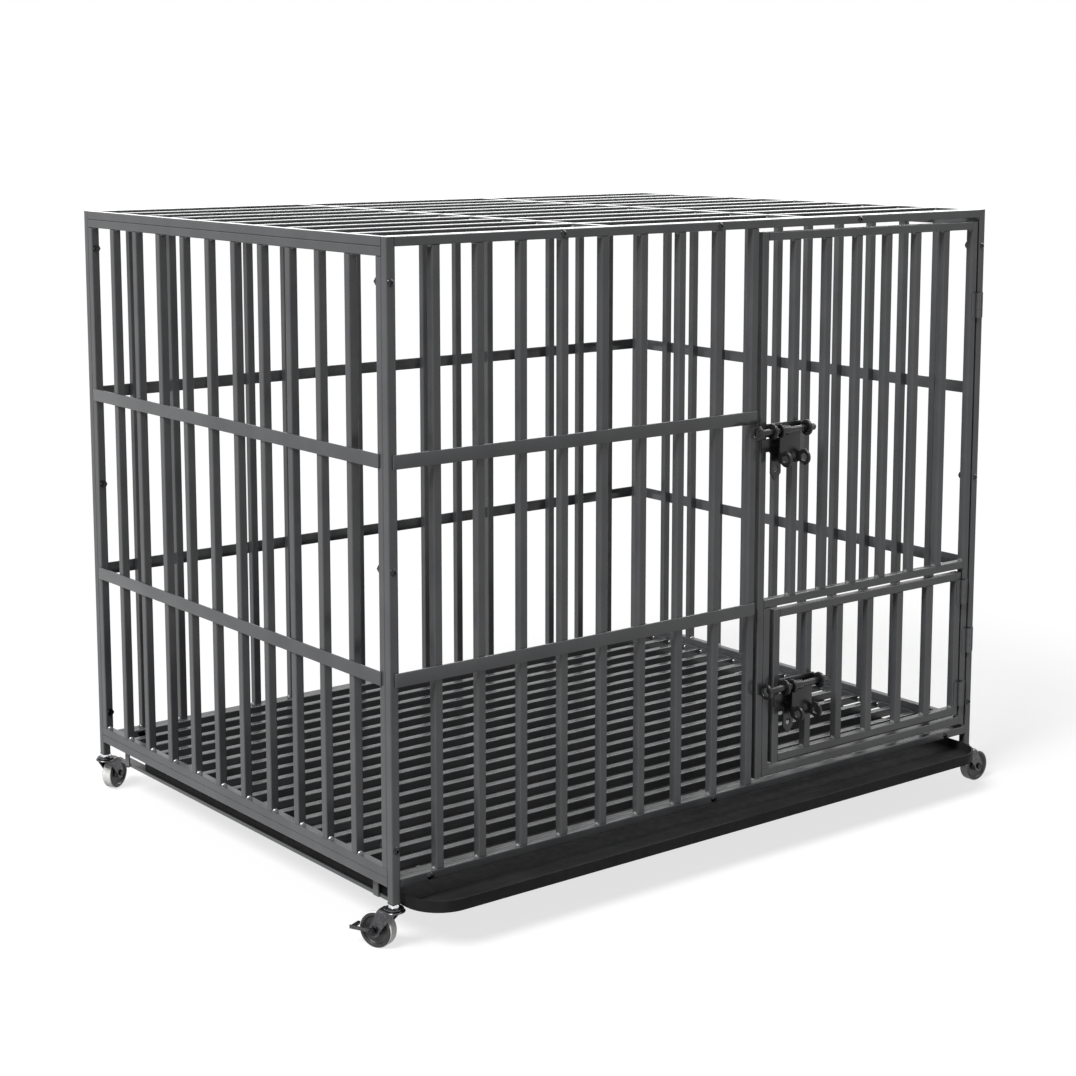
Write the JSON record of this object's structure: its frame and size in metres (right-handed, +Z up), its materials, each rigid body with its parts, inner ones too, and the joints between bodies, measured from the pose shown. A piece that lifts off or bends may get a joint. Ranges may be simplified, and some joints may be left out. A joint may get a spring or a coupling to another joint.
{
  "type": "heavy duty dog crate",
  "caption": "Welded square tube dog crate on swivel castors. A large hinged front door holds a smaller one, each shut by a slide bolt with padlock eyes, and a tray slides out under the floor.",
  "frame": {"origin": "middle of the crate's footprint on the ground that the wheels stand on", "axes": "+X along the front towards the hinge side, +Y from the front to the back, +Z up"},
  "size_m": [1.2249, 0.943, 0.945],
  "materials": {
    "frame_coat": "satin charcoal powder coat on welded steel tube",
    "latch_black": "gloss black enamel",
    "screw_steel": "dark zinc plated steel",
    "stem_chrome": "bright plated steel",
    "fork_zinc": "dark plated pressed steel",
    "wheel_plastic": "moulded nylon",
    "tread_rubber": "smooth light grey tread",
    "plug_plastic": "moulded plug",
    "tray_plastic": "black moulded tray"
  },
  "bodies": {
    "crate": {"front_frame": "frame_coat", "front_bars": "frame_coat", "front_strips": "frame_coat", "back_frame": "frame_coat", "back_bars": "frame_coat", "back_strips": "frame_coat", "left_frame": "frame_coat", "left_bars": "frame_coat", "left_strips": "frame_coat", "right_frame": "frame_coat", "right_bars": "frame_coat", "right_strips": "frame_coat", "floor_frame": "frame_coat", "floor_slats": "frame_coat", "roof_frame": "frame_coat", "roof_slats": "frame_coat", "roof_cross_bars": "frame_coat", "door_fixed_leaves": "frame_coat", "frame_screws": "screw_steel", "frame_nuts": "screw_steel", "door_hinge_pins": "screw_steel", "upper_keeper": "latch_black", "castor_plugs": "plug_plastic", "castor_stems": "stem_chrome"},
    "large_door": {"door_frame": "frame_coat", "door_bars": "frame_coat", "door_moving_leaves": "frame_coat", "small_fixed_leaves": "frame_coat", "small_hinge_pins": "screw_steel", "upper_guide": "latch_black", "upper_hasp": "latch_black", "lower_keeper": "latch_black"},
    "small_door": {"small_door_frame": "frame_coat", "small_door_bars": "frame_coat", "small_moving_leaves": "frame_coat", "lower_guide": "latch_black", "lower_hasp": "latch_black"},
    "upper_slide": {"upper_bolt": "latch_black", "upper_handle": "latch_black"},
    "lower_slide": {"lower_bolt": "latch_black", "lower_handle": "latch_black"},
    "tray": {"floor_tray": "tray_plastic"},
    "front_left_swivel": {"front_left_fork": "fork_zinc", "front_left_axle": "screw_steel"},
    "front_left_wheel": {"front_left_hub": "wheel_plastic", "front_left_tyre": "tread_rubber"},
    "front_left_lock": {"front_left_brake": "fork_zinc"},
    "front_right_swivel": {"front_right_fork": "fork_zinc", "front_right_axle": "screw_steel"},
    "front_right_wheel": {"front_right_hub": "wheel_plastic", "front_right_tyre": "tread_rubber"},
    "back_left_swivel": {"back_left_fork": "fork_zinc", "back_left_axle": "screw_steel"},
    "back_left_wheel": {"back_left_hub": "wheel_plastic", "back_left_tyre": "tread_rubber"},
    "back_left_lock": {"back_left_brake": "fork_zinc"},
    "back_right_swivel": {"back_right_fork": "fork_zinc", "back_right_axle": "screw_steel"},
    "back_right_wheel": {"back_right_hub": "wheel_plastic", "back_right_tyre": "tread_rubber"}
  },
  "joints": [
    {"name": "large_door_hinge", "type": "hinge", "parent": "crate", "child": "large_door", "pos_m": [0.5603, -0.426, 0.5185], "axis": [0, 0, 1], "range_deg": [0, 120]},
    {"name": "small_door_hinge", "type": "hinge", "parent": "large_door", "child": "small_door", "pos_m": [0.5436, -0.426, 0.242], "axis": [0, 0, 1], "range_deg": [0, 110]},
    {"name": "upper_bolt_slide", "type": "slide", "parent": "large_door", "child": "upper_slide", "axis": [-1, 0, 0], "range_m": [-0.012, 0.011]},
    {"name": "lower_bolt_slide", "type": "slide", "parent": "small_door", "child": "lower_slide", "axis": [-1, 0, 0], "range_m": [-0.012, 0.011]},
    {"name": "tray_slide", "type": "slide", "parent": "crate", "child": "tray", "axis": [0, -1, 0], "range_m": [-0.055, 0.6]},
    {"name": "front_left_castor_swivel", "type": "hinge", "parent": "crate", "child": "front_left_swivel", "pos_m": [-0.56865, -0.41615, 0.055], "axis": [0, 0, 1], "continuous": true},
    {"name": "front_left_wheel_spin", "type": "hinge", "parent": "front_left_swivel", "child": "front_left_wheel", "pos_m": [-0.57882, -0.39331, 0.025], "axis": [-0.9135, -0.4067, 0], "continuous": true},
    {"name": "front_left_brake_tip", "type": "hinge", "parent": "front_left_swivel", "child": "front_left_lock", "pos_m": [-0.57882, -0.39331, 0.025], "axis": [0.9135, 0.4067, 0], "range_deg": [0, 25]},
    {"name": "front_right_castor_swivel", "type": "hinge", "parent": "crate", "child": "front_right_swivel", "pos_m": [0.56865, -0.41615, 0.055], "axis": [0, 0, 1], "continuous": true},
    {"name": "front_right_wheel_spin", "type": "hinge", "parent": "front_right_swivel", "child": "front_right_wheel", "pos_m": [0.59365, -0.41615, 0.025], "axis": [0, 1, 0], "continuous": true},
    {"name": "back_left_castor_swivel", "type": "hinge", "parent": "crate", "child": "back_left_swivel", "pos_m": [-0.56865, 0.41615, 0.055], "axis": [0, 0, 1], "continuous": true},
    {"name": "back_left_wheel_spin", "type": "hinge", "parent": "back_left_swivel", "child": "back_left_wheel", "pos_m": [-0.547, 0.42865, 0.025], "axis": [-0.5, 0.866, 0], "continuous": true},
    {"name": "back_left_brake_tip", "type": "hinge", "parent": "back_left_swivel", "child": "back_left_lock", "pos_m": [-0.547, 0.42865, 0.025], "axis": [0.5, -0.866, 0], "range_deg": [0, 25]},
    {"name": "back_right_castor_swivel", "type": "hinge", "parent": "crate", "child": "back_right_swivel", "pos_m": [0.56865, 0.41615, 0.055], "axis": [0, 0, 1], "continuous": true},
    {"name": "back_right_wheel_spin", "type": "hinge", "parent": "back_right_swivel", "child": "back_right_wheel", "pos_m": [0.5601, 0.43964, 0.025], "axis": [-0.9397, -0.342, 0], "continuous": true}
  ]
}
